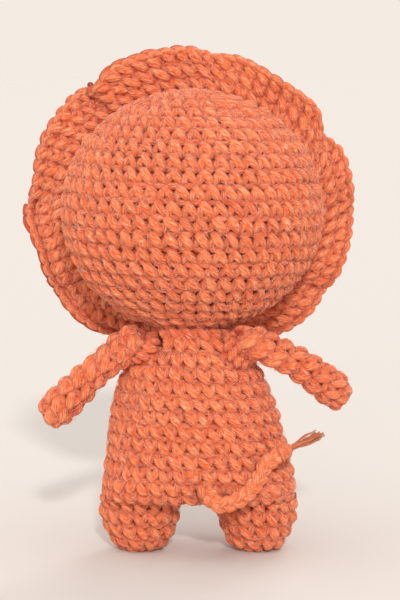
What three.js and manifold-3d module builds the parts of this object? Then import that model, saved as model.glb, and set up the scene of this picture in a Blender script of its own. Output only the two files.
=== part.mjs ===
// A crocheted lion doll, 150 mm tall: stuffed yarn covers sewn together, a ruffled mane and a braided tail.
// Millimetres, +Z up, the face toward -Y, standing on its two feet.
import * as THREE from "three";
import { mergeVertices } from "three/addons/utils/BufferGeometryUtils.js";
import Module from "manifold-3d";

const wasm = await Module();
wasm.setup();

// ---- Driving dimensions -------------------------------------------------------------------------

// Fabric and fits
const FABRIC = 2.8; // thickness of the crocheted yarn fabric
const TOUCH = 0.4; // clearance between pieces that touch
const SEAM_YARN = 0.8; // radius of the sewing yarn

// Legs: two short cups, worked from the sole upward
const SOLE_RADIUS = 6.5;
const LEG_HALF_WIDTH = 11.8;
const LEG_HALF_DEPTH = 12.6;
const LEG_HEIGHT = 14.6;

// Body: a pear from the legs to the neck
const HIP_HALF_WIDTH = 29.2;
const HIP_HALF_DEPTH = 23;
const HIP_RISE = 4; // the widest place above the legs
const HIP_SIDESTEP = -2; // the hips sit a little to the doll's right of its head
const UNDERSIDE_RISE = 12; // height over which the seat rounds in to the legs
const NECK_RADIUS = 13;
const BODY_HEIGHT = 49; // from the crotch to the neck edge

// Head: a ball, worked from the crown down
const HEAD_HALF_WIDTH = 38.5;
const HEAD_HALF_DEPTH = 36;
const HEAD_HALF_HEIGHT = 35.5;
const HEAD_OPENING = 9; // radius of the hole that it is stuffed through
const HEAD_LIFT = 2; // the ball's lowest point above the neck edge
const NOD_GAP = 1.7; // between the ball and the neck seam, so that the head can tip

// Mane: a ruffled strip sewn round the face
const MANE_WIDTH = 14;
const MANE_THICKNESS = 3.2;
const MANE_SET_FORWARD = 11; // of the head's middle, at the crown and the cheeks
const CHIN_SET_FORWARD = 9; // further forward again under the chin
const RUFFLE_COUNT = 15;
const RUFFLE_HEIGHT = 2.2;

// Arms: narrow tubes worked from the hand up
const ARM_LENGTH = 36.5; // shoulder pivot to fingertip
const ARM_RADIUS = 5.2;
const HAND_RADIUS = 6.1;
const ARM_ROOT_RADIUS = 3.4;
const ARM_OPENING = 1.2;
const SHOULDER_PATCH_RADIUS = 3; // the stitched patch between arm and body
const SHOULDER_PATCH_THICKNESS = 1;
const ARM_DROP = 3.4; // the sewn end below the neck edge, on the body's surface

// Tail: a three-strand braid, bound at its end
const TAIL_RADIUS = 2.25;
const TAIL_KNOT_RADIUS = 2.5;
const TAIL_KNOT_LENGTH = 3.6;
const TAIL_TUFT_LENGTH = 11.5;

// Face
const EYE_RADIUS = 3.5;
const EYE_STEM_RADIUS = 1.2;
const EYE_DOME = 0.7; // its height as a share of its radius
const EYE_STAND_OFF = 1;
const EYE_RIM = 0.4;
const STEM_SPARE = 1.5;
const EYE_SPREAD = 13;
const EYE_RISE = 2;
const WASHER_RADIUS = 4;
const WASHER_THICKNESS = 1.2;
const WASHER_GAP = 1;
const NOSE_HALF_WIDTH = 4.6;
const NOSE_HALF_HEIGHT = 3;
const NOSE_DROP = 6;
const NOSE_THICKNESS = 1.3;
const MOUTH_HALF_WIDTH = 6.5;
const MOUTH_YARN = 0.55;
const MOUTH_GAP = 1.6; // between the nose and the mouth

// ---- Worked out from them -----------------------------------------------------------------------

const CROTCH_LEVEL = LEG_HEIGHT + TOUCH;
const HIP_LEVEL = CROTCH_LEVEL + HIP_RISE;
const NECK_LEVEL = CROTCH_LEVEL + BODY_HEIGHT;
const HEAD_LEVEL = NECK_LEVEL + HEAD_LIFT + HEAD_HALF_HEIGHT;
const LEG_OFFSET = HIP_HALF_WIDTH - LEG_HALF_WIDTH;

// ---- Materials ----------------------------------------------------------------------------------

const yarn = new THREE.MeshStandardMaterial({ color: 0xe87f58, roughness: 0.9, metalness: 0 });
const sewing = new THREE.MeshStandardMaterial({ color: 0xdd6f49, roughness: 0.9, metalness: 0 });
const filling = new THREE.MeshStandardMaterial({ color: 0xf4f1ea, roughness: 1, metalness: 0 });
const eyePlastic = new THREE.MeshStandardMaterial({ color: 0x14110f, roughness: 0.15, metalness: 0 });
const washerPlastic = new THREE.MeshStandardMaterial({ color: 0xe6e6e0, roughness: 0.5, metalness: 0 });
const faceYarn = new THREE.MeshStandardMaterial({ color: 0x4a2a1f, roughness: 0.9, metalness: 0 });

// ---- Shaping helpers ----------------------------------------------------------------------------

const clamp = THREE.MathUtils.clamp;
const rad = THREE.MathUtils.degToRad;

// Positions only, shared vertices merged, triangles without area left out, faces pointing out.
function solid(geometry) {
  const bare = geometry.clone();
  bare.deleteAttribute("normal");
  bare.deleteAttribute("uv");
  const merged = mergeVertices(bare, 1e-3);
  const kept = [];
  for (let i = 0; i < merged.index.count; i += 3) {
    const [a, b, c] = [0, 1, 2].map((k) => merged.index.getX(i + k));
    if (a !== b && b !== c && c !== a) kept.push(a, b, c);
  }
  const p = merged.getAttribute("position");
  const corner = [new THREE.Vector3(), new THREE.Vector3(), new THREE.Vector3()];
  let volume = 0;
  for (let i = 0; i < kept.length; i += 3) {
    corner.forEach((v, k) => v.fromBufferAttribute(p, kept[i + k]));
    volume += corner[0].dot(corner[1].cross(corner[2]));
  }
  if (volume < 0) kept.reverse();
  merged.setIndex(kept);
  merged.computeVertexNormals();
  return merged;
}

// Every vertex moved to where place() puts it.
function shaped(geometry, place) {
  const p = geometry.getAttribute("position");
  for (let i = 0; i < p.count; i++) {
    const v = place(new THREE.Vector3().fromBufferAttribute(p, i));
    p.setXYZ(i, v.x, v.y, v.z);
  }
  return geometry;
}

// A profile of (radius, height) points turned about Z.
function turned(profile, segments) {
  return new THREE.LatheGeometry(profile, segments).rotateX(Math.PI / 2);
}

// The outline moved inward by a distance, square to itself, with its end held on the axis.
function inset(outline, distance) {
  const upward = Math.sign(outline.at(-1).y - outline[0].y);
  return outline.map((point, i) => {
    const before = outline[Math.max(i - 1, 0)];
    const after = outline[Math.min(i + 1, outline.length - 1)];
    const into = point.clone().sub(before).normalize();
    const out = after.clone().sub(point).normalize();
    const first = into.lengthSq() ? into : out;
    const second = out.lengthSq() ? out : into;
    const along = first.clone().add(second).normalize();
    const inward = new THREE.Vector2(-along.y, along.x).multiplyScalar(upward);
    const mitre = 1 / Math.max(along.dot(first), 0.5);
    const moved = point.clone().addScaledVector(inward, distance * mitre);
    return point.x < 1e-6 ? new THREE.Vector2(0, point.y - upward * distance) : moved;
  });
}

// A cover: the outline from its open rim to the axis, with the fabric's thickness behind it.
function walled(outline) {
  return [...outline, ...inset(outline, FABRIC).reverse(), outline[0]];
}

// An outline closed flat at its open end.
function plug(outline) {
  return [new THREE.Vector2(0, outline[0].y), ...outline];
}

// The filling inside a cover: its inner side moved in by the clearance.
function filled(outline) {
  return plug(inset(inset(outline, FABRIC), TOUCH));
}

function manifoldOf(geometry) {
  const g = solid(geometry);
  const vertProperties = new Float32Array(g.getAttribute("position").array);
  const triVerts = new Uint32Array(g.index.array);
  return new wasm.Manifold(new wasm.Mesh({ numProp: 3, vertProperties, triVerts }));
}

function geometryOf(manifold) {
  const mesh = manifold.getMesh();
  const g = new THREE.BufferGeometry();
  g.setAttribute("position", new THREE.BufferAttribute(new Float32Array(mesh.vertProperties), 3));
  g.setIndex(new THREE.BufferAttribute(new Uint32Array(mesh.triVerts), 1));
  g.computeVertexNormals();
  return g;
}

// The first geometry with each of the others cut out of it.
function cut(geometry, tools) {
  const whole = manifoldOf(geometry);
  return geometryOf(tools.reduce((left, tool) => left.subtract(manifoldOf(tool)), whole));
}

function piece(name, geometry, material) {
  const mesh = new THREE.Mesh(solid(geometry), material);
  mesh.name = name;
  return mesh;
}

// ---- The body's outer surface -------------------------------------------------------------------

// Half-width, half-depth, squareness and sideways place of the body at a height.
function bodyAt(z) {
  const t = clamp((z - HIP_LEVEL) / (NECK_LEVEL - HIP_LEVEL), 0, 1);
  const taper = 0.5 * t + 0.5 * t ** 5;
  const under = clamp(1 - (z - CROTCH_LEVEL) / UNDERSIDE_RISE, 0, 1);
  const tuck = 1 - Math.sqrt(1 - 0.96 * under ** 2);
  const fullDepth = HIP_HALF_DEPTH - (HIP_HALF_DEPTH - NECK_RADIUS) * taper;
  return {
    width: HIP_HALF_WIDTH - (HIP_HALF_WIDTH - NECK_RADIUS) * taper,
    depth: fullDepth - (fullDepth - LEG_HALF_DEPTH - TOUCH) * tuck,
    squareness: 2 + 1.6 * under,
    shift: HIP_SIDESTEP * (1 - THREE.MathUtils.smoothstep(t, 0, 0.8)),
  };
}

// The point of the body's section at a height and an angle round Z, at a share of the way out.
function onSection(angle, z, share) {
  const { width, depth, squareness, shift } = bodyAt(z);
  const [c, s] = [Math.cos(angle), Math.sin(angle)];
  const reach = share / (Math.abs(c) ** squareness + Math.abs(s) ** squareness) ** (1 / squareness);
  return new THREE.Vector3(shift + width * reach * c, depth * reach * s, z);
}

// The body's outward normal at an angle and a height.
function bodyNormal(angle, z) {
  const step = 0.01;
  const round = onSection(angle + step, z, 1).sub(onSection(angle - step, z, 1));
  const up = onSection(angle, z + step, 1).sub(onSection(angle, z - step, 1));
  return round.cross(up).normalize();
}

// A turned body profile, whose radii are half-widths, brought to the body's true section.
function bodyShaped(profile, segments) {
  return shaped(turned(profile, segments), (v) => {
    const share = Math.hypot(v.x, v.y) / bodyAt(v.z).width;
    return onSection(Math.atan2(v.y, v.x), v.z, share);
  });
}

// ---- Body and legs ------------------------------------------------------------------------------

function torsoOutline() {
  const rings = 10;
  const side = Array.from({ length: rings + 1 }, (_, i) => {
    const z = NECK_LEVEL - (BODY_HEIGHT * i) / rings;
    return new THREE.Vector2(bodyAt(z).width, z);
  });
  const floor = [2 / 3, 1 / 3, 0].map((k) => new THREE.Vector2(HIP_HALF_WIDTH * k, CROTCH_LEVEL));
  return [...side, ...floor];
}

function legOutline() {
  const rings = 6;
  const side = Array.from({ length: rings + 1 }, (_, i) => {
    const t = 1 - i / rings;
    const swell = Math.sin((Math.PI / 2) * t);
    return new THREE.Vector2(SOLE_RADIUS + (LEG_HALF_WIDTH - SOLE_RADIUS) * swell, LEG_HEIGHT * t);
  });
  return [...side, new THREE.Vector2(0, 0)];
}

function legShaped(profile) {
  return turned(profile, 24).scale(1, LEG_HALF_DEPTH / LEG_HALF_WIDTH, 1);
}

function makeLeg(side, sign) {
  const leg = new THREE.Group();
  leg.position.set(HIP_SIDESTEP + sign * LEG_OFFSET, 0, 0);
  leg.add(piece(side + "_leg_cover", legShaped(walled(legOutline())), yarn));
  leg.add(piece(side + "_leg_stuffing", legShaped(filled(legOutline())), filling));
  return leg;
}

function makeTorso() {
  const torso = new THREE.Group();
  const throughFloor = [-1, 1].map((sign) => {
    const radius = LEG_HALF_WIDTH - FABRIC - 1;
    return new THREE.CylinderGeometry(radius, radius, 4 * FABRIC, 24)
      .rotateX(Math.PI / 2)
      .translate(HIP_SIDESTEP + sign * LEG_OFFSET, 0, CROTCH_LEVEL);
  });
  const cover = bodyShaped(walled(torsoOutline()), 32);
  torso.add(piece("torso_cover", cut(cover, throughFloor), yarn));
  torso.add(piece("torso_stuffing", bodyShaped(filled(torsoOutline()), 20), filling));
  return torso;
}

const doll = new THREE.Group();
doll.add(makeTorso(), makeLeg("left", 1), makeLeg("right", -1));

// ---- Neck seam ----------------------------------------------------------------------------------

// Height of the ball's underside above the neck edge, at a radius from the neck's axis.
function ballUnderside(radius) {
  return HEAD_LIFT + HEAD_HALF_HEIGHT * (1 - Math.sqrt(1 - (radius / HEAD_HALF_WIDTH) ** 2));
}

function makeNeckSeam() {
  const [inner, outer] = [NECK_RADIUS - 1.6, NECK_RADIUS + 1.6];
  const top = (radius) => new THREE.Vector2(radius, ballUnderside(radius) - NOD_GAP);
  const profile = [
    new THREE.Vector2(inner, TOUCH),
    new THREE.Vector2(outer, TOUCH),
    new THREE.Vector2(outer + 0.5, (TOUCH + top(outer).y) / 2),
    top(outer),
    top((inner + outer) / 2),
    top(inner),
    new THREE.Vector2(inner, TOUCH),
  ];
  const seam = piece("neck_seam", turned(profile, 32), sewing);
  seam.position.set(bodyAt(NECK_LEVEL).shift, 0, NECK_LEVEL);
  return seam;
}

doll.add(makeNeckSeam());

// ---- Head ---------------------------------------------------------------------------------------

// The head group's origin is the middle of the ball.
const head = new THREE.Group();
head.position.set(0, 0, HEAD_LEVEL);
doll.add(head);

const HEAD_SIZE = new THREE.Vector3(HEAD_HALF_WIDTH, HEAD_HALF_DEPTH, HEAD_HALF_HEIGHT);

function headOutline() {
  const rings = 13;
  const rim = Math.asin(HEAD_OPENING / HEAD_HALF_WIDTH);
  return Array.from({ length: rings + 1 }, (_, i) => {
    const angle = rim + ((Math.PI - rim) * i) / rings;
    const radius = i === rings ? 0 : HEAD_HALF_WIDTH * Math.sin(angle);
    return new THREE.Vector2(radius, -HEAD_HALF_HEIGHT * Math.cos(angle));
  });
}

// The ball's surface in front of a place on the face, and a direction square to it.
function faceAt(x, z, out) {
  const y = -HEAD_HALF_DEPTH * Math.sqrt(1 - (x / HEAD_HALF_WIDTH) ** 2 - (z / HEAD_HALF_HEIGHT) ** 2);
  const point = new THREE.Vector3(x, y, z);
  const normal = point.clone().divide(HEAD_SIZE).divide(HEAD_SIZE).normalize();
  return { point: point.addScaledVector(normal, out), normal };
}

// A tool or fitting made along +Z, turned to stand on the face.
function standing(object, x, z, out) {
  const { point, normal } = faceAt(x, z, out);
  object.position.copy(point);
  object.quaternion.setFromUnitVectors(new THREE.Vector3(0, 0, 1), normal);
  object.updateMatrix();
  return object;
}

function borer(radius, length, x, z) {
  const tool = new THREE.CylinderGeometry(radius, radius, length, 12).rotateX(Math.PI / 2);
  return tool.applyMatrix4(standing(new THREE.Object3D(), x, z, 0).matrix);
}

function makeEye(side, sign) {
  const stemEnd = -(FABRIC + TOUCH + WASHER_THICKNESS + STEM_SPARE);
  const dome = [90, 60, 30, 0].map((a) => {
    const radius = a === 90 ? 0 : EYE_RADIUS * Math.cos(rad(a));
    return new THREE.Vector2(radius, EYE_STAND_OFF + EYE_DOME * EYE_RADIUS * Math.sin(rad(a)));
  });
  const stem = [
    new THREE.Vector2(EYE_RADIUS, EYE_STAND_OFF - EYE_RIM),
    new THREE.Vector2(EYE_STEM_RADIUS, EYE_STAND_OFF - EYE_RIM),
    new THREE.Vector2(EYE_STEM_RADIUS, stemEnd),
    new THREE.Vector2(0, stemEnd),
  ];
  const eye = piece(side + "_eye", turned([...dome, ...stem], 16), eyePlastic);
  return standing(eye, sign * EYE_SPREAD, EYE_RISE, 0);
}

function makeWasher(side, sign) {
  const [hole, back] = [EYE_STEM_RADIUS + TOUCH, -(FABRIC + WASHER_GAP + WASHER_THICKNESS)];
  const profile = [
    new THREE.Vector2(hole, back),
    new THREE.Vector2(WASHER_RADIUS, back),
    new THREE.Vector2(WASHER_RADIUS, back + WASHER_THICKNESS),
    new THREE.Vector2(hole, back + WASHER_THICKNESS),
    new THREE.Vector2(hole, back),
  ];
  const washer = piece(side + "_eye_washer", turned(profile, 16), washerPlastic);
  return standing(washer, sign * EYE_SPREAD, EYE_RISE, 0);
}

// A pad of satin stitches: a rounded triangle laid on the face.
function makeNose() {
  const profile = [
    new THREE.Vector2(0, TOUCH),
    new THREE.Vector2(0.6, TOUCH),
    new THREE.Vector2(1, TOUCH + NOSE_THICKNESS * 0.3),
    new THREE.Vector2(0.75, TOUCH + NOSE_THICKNESS * 0.9),
    new THREE.Vector2(0, TOUCH + NOSE_THICKNESS),
  ];
  const pad = shaped(turned(profile, 24), (v) => {
    const angle = Math.atan2(v.y, v.x);
    const reach = Math.hypot(v.x, v.y) * (1 - 0.18 * Math.sin(3 * angle));
    const x = NOSE_HALF_WIDTH * reach * Math.cos(angle);
    const z = NOSE_HALF_HEIGHT * reach * Math.sin(angle);
    return faceAt(x, z - NOSE_DROP, v.z).point;
  });
  return piece("nose_stitches", pad, faceYarn);
}

// A double curve of one yarn under the nose.
function makeMouth() {
  const top = -(NOSE_DROP + NOSE_HALF_HEIGHT + MOUTH_YARN + MOUTH_GAP);
  const across = [-1, -0.5, 0, 0.5, 1];
  const dip = [1, 3, 0, 3, 1];
  const path = across.map((k, i) => faceAt(k * MOUTH_HALF_WIDTH, top - dip[i], TOUCH + MOUTH_YARN).point);
  const section = new THREE.Shape().absarc(0, 0, MOUTH_YARN, 0, 2 * Math.PI);
  const tube = new THREE.ExtrudeGeometry(section, {
    steps: 20,
    curveSegments: 4,
    bevelEnabled: false,
    extrudePath: new THREE.CatmullRomCurve3(path),
  });
  return piece("mouth_stitches", tube, faceYarn);
}

function makeHead() {
  const depth = HEAD_HALF_DEPTH / HEAD_HALF_WIDTH;
  const cover = turned(walled(headOutline()), 32).scale(1, depth, 1);
  const stuffing = turned(filled(headOutline()), 20).scale(1, depth, 1);
  const eyes = [-1, 1].map((sign) => sign * EYE_SPREAD);
  const stemHoles = eyes.map((x) => borer(EYE_STEM_RADIUS + TOUCH, 4 * FABRIC, x, EYE_RISE));
  const washerPockets = eyes.map((x) => borer(WASHER_RADIUS + TOUCH, 6 * FABRIC, x, EYE_RISE));
  head.add(piece("head_cover", cut(cover, stemHoles), yarn));
  head.add(piece("head_stuffing", cut(stuffing, washerPockets), filling));
  head.add(makeEye("left", 1), makeEye("right", -1));
  head.add(makeWasher("left", 1), makeWasher("right", -1));
  head.add(makeNose(), makeMouth());
}

makeHead();

// ---- Mane ---------------------------------------------------------------------------------------

// A closed ring: place(round, section) gives the vertex for two angles.
function ring(around, across, place) {
  const g = new THREE.TorusGeometry(10, 1, across, around);
  const p = g.getAttribute("position");
  for (let j = 0; j <= across; j++) {
    for (let i = 0; i <= around; i++) {
      const v = place(((i % around) / around) * 2 * Math.PI, ((j % across) / across) * 2 * Math.PI);
      p.setXYZ(j * (around + 1) + i, v.x, v.y, v.z);
    }
  }
  return g;
}

// Where the mane leaves the ball at an angle round the face, and which way it leans there.
function maneRoot(angle) {
  const low = ((1 - Math.sin(angle)) / 2) ** 18;
  const cheek = Math.cos(angle) ** 2;
  const y = -(MANE_SET_FORWARD + CHIN_SET_FORWARD * low);
  const shrink = Math.sqrt(1 - (y / HEAD_HALF_DEPTH) ** 2);
  const point = new THREE.Vector3(
    HEAD_HALF_WIDTH * shrink * Math.cos(angle),
    y,
    HEAD_HALF_HEIGHT * shrink * Math.sin(angle),
  );
  const radial = new THREE.Vector3(Math.cos(angle), 0, Math.sin(angle));
  const lean = rad(6 + 27 * cheek + 56 * low);
  const front = new THREE.Vector3(0, -1, 0);
  const along = radial.clone().multiplyScalar(Math.cos(lean)).addScaledVector(front, Math.sin(lean));
  const face = front.clone().multiplyScalar(Math.cos(lean)).addScaledVector(radial, -Math.sin(lean));
  return { point, along, face, radial };
}

// A vertex pushed out of the ball, to stand clear of its surface.
function clearOfHead(v, gap) {
  const size = HEAD_SIZE.clone().addScalar(gap);
  const depth = v.clone().divide(size).length();
  return depth < 1 ? v.divideScalar(depth) : v;
}

const roundedStep = (value) => Math.sign(value) * Math.abs(value) ** 0.6;

function makeMane() {
  const strip = ring(RUFFLE_COUNT * 6, 8, (round, section) => {
    const { point, along, face } = maneRoot(round);
    const reach = (1 - roundedStep(Math.cos(section))) / 2;
    const wave = Math.sin(RUFFLE_COUNT * round + 0.9 * Math.sin(3 * round));
    const rise = RUFFLE_HEIGHT * reach * wave;
    const half = (MANE_THICKNESS / 2) * roundedStep(Math.sin(section));
    const v = point.clone().addScaledVector(along, MANE_WIDTH * reach + TOUCH);
    return clearOfHead(v.addScaledVector(face, half + rise), TOUCH);
  });
  return piece("mane", strip, yarn);
}

// A round of sewing yarn on the ball, close behind the mane.
function makeManeSeam() {
  const yarnRing = ring(48, 6, (round, section) => {
    const { point } = maneRoot(round);
    const y = point.y + MANE_THICKNESS / 2 + SEAM_YARN + 2 * TOUCH;
    const shrink = Math.sqrt(1 - (y / HEAD_HALF_DEPTH) ** 2);
    const base = HEAD_SIZE.clone()
      .multiply(new THREE.Vector3(shrink * Math.cos(round), 0, shrink * Math.sin(round)))
      .setY(y);
    const out = base.clone().divide(HEAD_SIZE).divide(HEAD_SIZE).normalize();
    const aside = new THREE.Vector3(-Math.sin(round), 0, Math.cos(round)).cross(out).normalize();
    return base
      .addScaledVector(out, TOUCH + SEAM_YARN * (1.1 + Math.cos(section)))
      .addScaledVector(aside, SEAM_YARN * Math.sin(section));
  });
  return piece("mane_seam", yarnRing, sewing);
}

head.add(makeMane(), makeManeSeam());

// ---- Arms ---------------------------------------------------------------------------------------

// Outline of the arm from its sewn end to the fingertip, heights along the arm from the shoulder pivot.
function armOutline() {
  const rootAngle = Math.acos(ARM_OPENING / ARM_ROOT_RADIUS);
  const root = [1, 0.5, 0].map((k) => {
    const a = -rootAngle * k;
    return new THREE.Vector2(ARM_ROOT_RADIUS * Math.cos(a), ARM_ROOT_RADIUS * Math.sin(a));
  });
  root.push(new THREE.Vector2(ARM_ROOT_RADIUS, SHOULDER_PATCH_RADIUS)); // narrow past the stitched patch
  const handMiddle = ARM_LENGTH - HAND_RADIUS;
  const sleeve = [0.35, 0.7].map((k) => new THREE.Vector2(ARM_RADIUS, k * handMiddle));
  const hand = [0, 30, 60, 90].map((a) => {
    const radius = a === 90 ? 0 : HAND_RADIUS * Math.cos(rad(a));
    return new THREE.Vector2(radius, handMiddle + HAND_RADIUS * Math.sin(rad(a)));
  });
  return { root, sleeve: [...sleeve, ...hand] };
}

// The arm's hollow: a narrow neck at the sewn end, then the fabric's thickness inside the sleeve.
function armHollow({ root, sleeve }) {
  const neck = [root[0].y, ARM_ROOT_RADIUS].map((y) => new THREE.Vector2(ARM_OPENING, y));
  return [...neck, ...inset(sleeve, FABRIC)];
}

// Each arm is sewn on at an angle round Z, and hangs in a direction of its own.
const ARMS = [
  { side: "left", sewnAt: rad(30), heading: rad(-5), drop: rad(42) },
  { side: "right", sewnAt: rad(142), heading: rad(188), drop: rad(31) },
];

function makeShoulder({ side, sewnAt, heading, drop }) {
  const level = NECK_LEVEL - ARM_DROP;
  const outward = bodyNormal(sewnAt, level);
  const underRoot = ARM_ROOT_RADIUS + TOUCH;
  const standOff = underRoot + SHOULDER_PATCH_THICKNESS + TOUCH;
  const pivot = onSection(sewnAt, level, 1).addScaledVector(outward, standOff);

  const rim = SHOULDER_PATCH_RADIUS;
  const profile = [
    new THREE.Vector2(0, -underRoot),
    new THREE.Vector2(rim - 0.3, -underRoot),
    new THREE.Vector2(rim, -underRoot - SHOULDER_PATCH_THICKNESS / 2),
    new THREE.Vector2(rim - 0.3, -underRoot - SHOULDER_PATCH_THICKNESS),
    new THREE.Vector2(0, -underRoot - SHOULDER_PATCH_THICKNESS),
  ];
  const seam = piece(side + "_shoulder_seam", turned(profile, 24), sewing);
  seam.position.copy(pivot);
  seam.quaternion.setFromUnitVectors(new THREE.Vector3(0, 0, 1), outward);

  const arm = new THREE.Group();
  const along = new THREE.Vector3(Math.cos(heading), Math.sin(heading), 0)
    .multiplyScalar(Math.cos(drop))
    .setZ(-Math.sin(drop));
  arm.position.copy(pivot);
  arm.quaternion.setFromUnitVectors(new THREE.Vector3(0, 0, 1), along);
  const outline = armOutline();
  const hollow = armHollow(outline);
  const wall = [...outline.root, ...outline.sleeve, ...hollow.toReversed()];
  arm.add(piece(side + "_arm_cover", turned(wall, 16), yarn));
  arm.add(piece(side + "_arm_stuffing", turned(plug(inset(hollow, TOUCH)), 16), filling));
  return [seam, arm];
}

doll.add(...ARMS.flatMap(makeShoulder));

// ---- Tail ---------------------------------------------------------------------------------------

// The braid's route over the back: an angle round Z, a height above the crotch and a lift off the body.
const TAIL_ROUTE = [
  [92, 8.9, 0.9],
  [101, 4.5, 0.9],
  [112, 5.5, 0.9],
  [121, 8.3, 0.9],
  [131, 11.9, 1.2],
  [139, 15.2, 2.2],
];
const TUFT_WAY = new THREE.Vector3(-11, -2, 5).normalize();

function tailPoint([angle, rise, lift]) {
  const level = CROTCH_LEVEL + rise;
  const where = rad(angle);
  return onSection(where, level, 1).addScaledVector(bodyNormal(where, level), TAIL_RADIUS + lift);
}

function tube(name, path, radius, steps, material) {
  const section = new THREE.Shape().absarc(0, 0, radius, 0, 2 * Math.PI);
  const settings = { steps, curveSegments: 4, bevelEnabled: false, extrudePath: path };
  return piece(name, new THREE.ExtrudeGeometry(section, settings), material);
}

const tailCurve = new THREE.CatmullRomCurve3(TAIL_ROUTE.map(tailPoint));

// A piece made along +Z, standing at a place in a direction.
function aimed(name, profile, place, way) {
  const mesh = piece(name, turned(profile, 12), yarn);
  mesh.position.copy(place);
  mesh.quaternion.setFromUnitVectors(new THREE.Vector3(0, 0, 1), way);
  return mesh;
}

function makeTail() {
  const knot = [
    new THREE.Vector2(0, 0),
    new THREE.Vector2(0.7 * TAIL_KNOT_RADIUS, 0),
    new THREE.Vector2(TAIL_KNOT_RADIUS, 0.3 * TAIL_KNOT_LENGTH),
    new THREE.Vector2(TAIL_KNOT_RADIUS, 0.7 * TAIL_KNOT_LENGTH),
    new THREE.Vector2(0.7 * TAIL_KNOT_RADIUS, TAIL_KNOT_LENGTH),
    new THREE.Vector2(0, TAIL_KNOT_LENGTH),
  ];
  const tuft = [
    new THREE.Vector2(0, 0),
    new THREE.Vector2(0.4 * TAIL_KNOT_RADIUS, 0),
    new THREE.Vector2(0.5 * TAIL_KNOT_RADIUS, 0.6 * TAIL_TUFT_LENGTH),
    new THREE.Vector2(0.75 * TAIL_KNOT_RADIUS, TAIL_TUFT_LENGTH),
    new THREE.Vector2(0, TAIL_TUFT_LENGTH),
  ];
  const way = tailCurve.getTangent(1);
  const knotStart = tailCurve.getPoint(1).addScaledVector(way, TOUCH);
  const tuftStart = knotStart.clone().addScaledVector(way, TAIL_KNOT_LENGTH + 2 * TOUCH);
  const tail = new THREE.Group();
  tail.add(tube("tail_braid", tailCurve, TAIL_RADIUS, 10, yarn));
  tail.add(aimed("tail_knot", knot, knotStart, way));
  tail.add(aimed("tail_tuft", tuft, tuftStart, TUFT_WAY));
  return tail;
}

doll.add(makeTail());

// ---- The part's frame ---------------------------------------------------------------------------

// The origin is on the floor, under the middle of the doll without its tail.
const withoutTail = new THREE.Box3();
doll.updateMatrixWorld(true);
doll.traverse((o) => {
  if (o.isMesh && !o.name.startsWith("tail_")) withoutTail.expandByObject(o, true);
});
const middle = withoutTail.getCenter(new THREE.Vector3());
doll.position.set(-middle.x, -middle.y, -withoutTail.min.z);

const group = new THREE.Group();
group.add(doll);
export default group;
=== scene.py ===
# %% [markdown]
# # A crocheted lion doll
# The doll is a handful of stuffed yarn covers: a ball for the head with a ruffled mane, a pear for
# the body, two short legs, two arms and a plaited tail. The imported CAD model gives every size,
# place and joint, so this notebook loads it as a fixed frame and only dresses it in yarn.

import bmesh
import bpy
import numpy as np
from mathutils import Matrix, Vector


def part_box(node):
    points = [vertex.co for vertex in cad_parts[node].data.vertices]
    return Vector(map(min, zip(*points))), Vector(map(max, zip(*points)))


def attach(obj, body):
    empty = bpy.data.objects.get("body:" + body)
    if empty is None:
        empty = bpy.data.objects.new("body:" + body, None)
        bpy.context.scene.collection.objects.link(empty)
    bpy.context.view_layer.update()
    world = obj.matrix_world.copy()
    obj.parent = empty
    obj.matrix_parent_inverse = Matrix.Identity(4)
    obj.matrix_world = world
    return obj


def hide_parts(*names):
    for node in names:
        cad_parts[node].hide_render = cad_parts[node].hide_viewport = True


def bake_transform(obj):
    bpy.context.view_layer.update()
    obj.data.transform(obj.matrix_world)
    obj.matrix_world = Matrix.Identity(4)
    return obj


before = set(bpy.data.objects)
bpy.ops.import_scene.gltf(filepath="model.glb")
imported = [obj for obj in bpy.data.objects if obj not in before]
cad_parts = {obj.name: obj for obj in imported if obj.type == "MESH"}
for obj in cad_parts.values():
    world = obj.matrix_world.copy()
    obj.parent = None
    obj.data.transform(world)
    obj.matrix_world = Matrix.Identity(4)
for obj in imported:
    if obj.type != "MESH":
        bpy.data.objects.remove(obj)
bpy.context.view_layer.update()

MM = 0.001


def placed(name, data):
    made = bpy.data.objects.new(name, data)
    bpy.context.collection.objects.link(made)
    return made


print("nodes in the frame:", len(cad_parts))

# %% [markdown]
# ## The camera
# The doll is seen from behind, from a little above its middle, with a long lens so that the round
# shapes stay round. The lens is worked out from how much height the picture has to hold.

# %% Camera
CAMERA_DISTANCE = 0.65
CAMERA_RISE = np.radians(6)
PICTURE_HEIGHT = 0.178  # metres from the bottom edge to the top, at the doll
SENSOR = 36.0
AIM = (-0.0025, 0, 0.0748)  # a little to one side, as the tail's tuft reaches past the body

aim = Vector(AIM)
camera = placed("camera", bpy.data.cameras.new("camera"))
camera.location = aim + CAMERA_DISTANCE * Vector((0, np.cos(CAMERA_RISE), np.sin(CAMERA_RISE)))
camera.rotation_euler = (aim - camera.location).to_track_quat("-Z", "Y").to_euler()
camera.data.sensor_width = SENSOR
camera.data.lens = SENSOR * CAMERA_DISTANCE / PICTURE_HEIGHT
bpy.context.scene.camera = camera
print("lens:", round(camera.data.lens), "mm")

# %% [markdown]
# ## Shader maths
# A socket is wrapped in a class whose operators add the Math nodes, so that `1 - mask * 0.5` reads
# as what it does. Every other node comes from one method, `node`, which sets the node up before it
# fills its sockets. Colours go through `blend`, because a Math node would turn them grey.

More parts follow.
